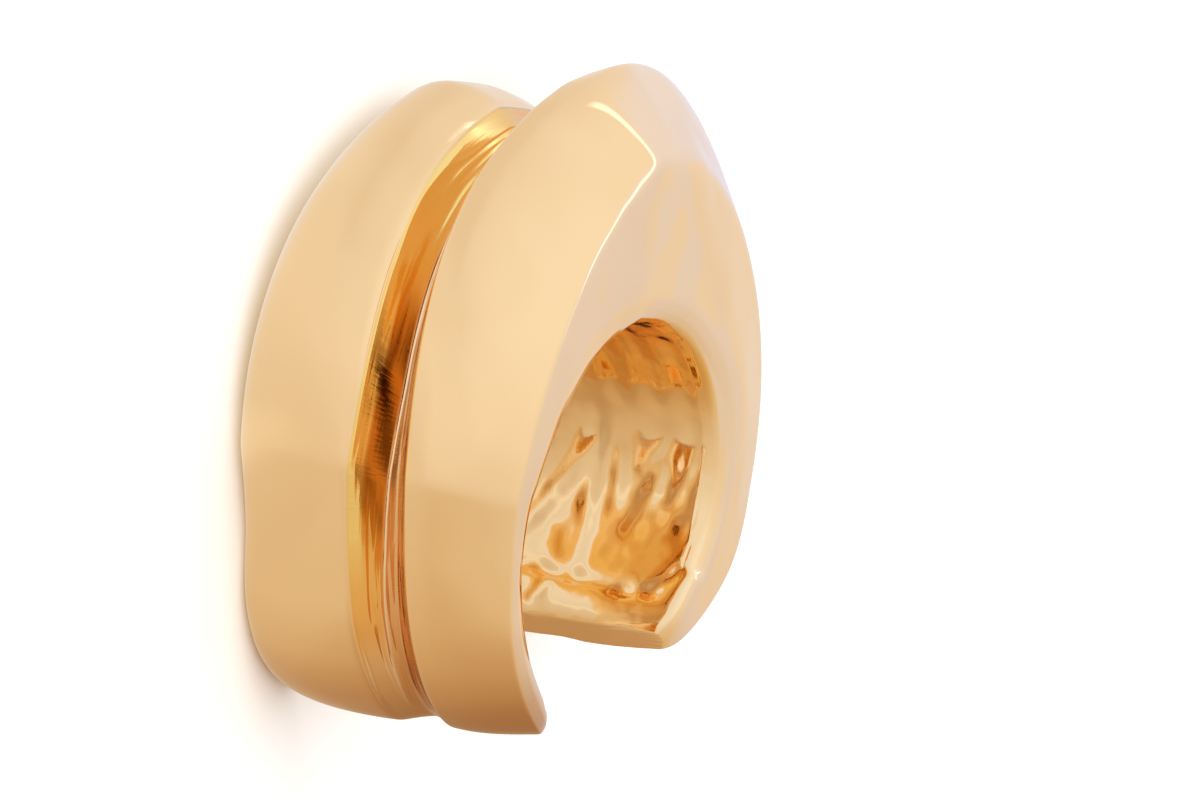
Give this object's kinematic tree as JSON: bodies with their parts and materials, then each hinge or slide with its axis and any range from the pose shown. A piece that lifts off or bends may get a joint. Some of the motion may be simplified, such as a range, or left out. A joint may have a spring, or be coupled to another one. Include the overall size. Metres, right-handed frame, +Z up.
{
  "type": "cuff bracelet",
  "caption": "Wide open cuff bracelet of polished gold-coloured metal, with two swelling ridges, a deep groove between them and a gap between its thin ends.",
  "frame": {"origin": "middle of the space the cuff takes up, on the surface it lies on", "axes": "The cuff lies on its left side. +X towards the back arm, +Y to the top of the cuff, -Y to the gap between the ends, +Z up, along the wrist"},
  "size_m": [0.0888, 0.081, 0.0372],
  "materials": {
    "gold": "mirror-polished gold plate"
  },
  "bodies": {
    "root": {"cuff": "gold"}
  },
  "joints": []
}
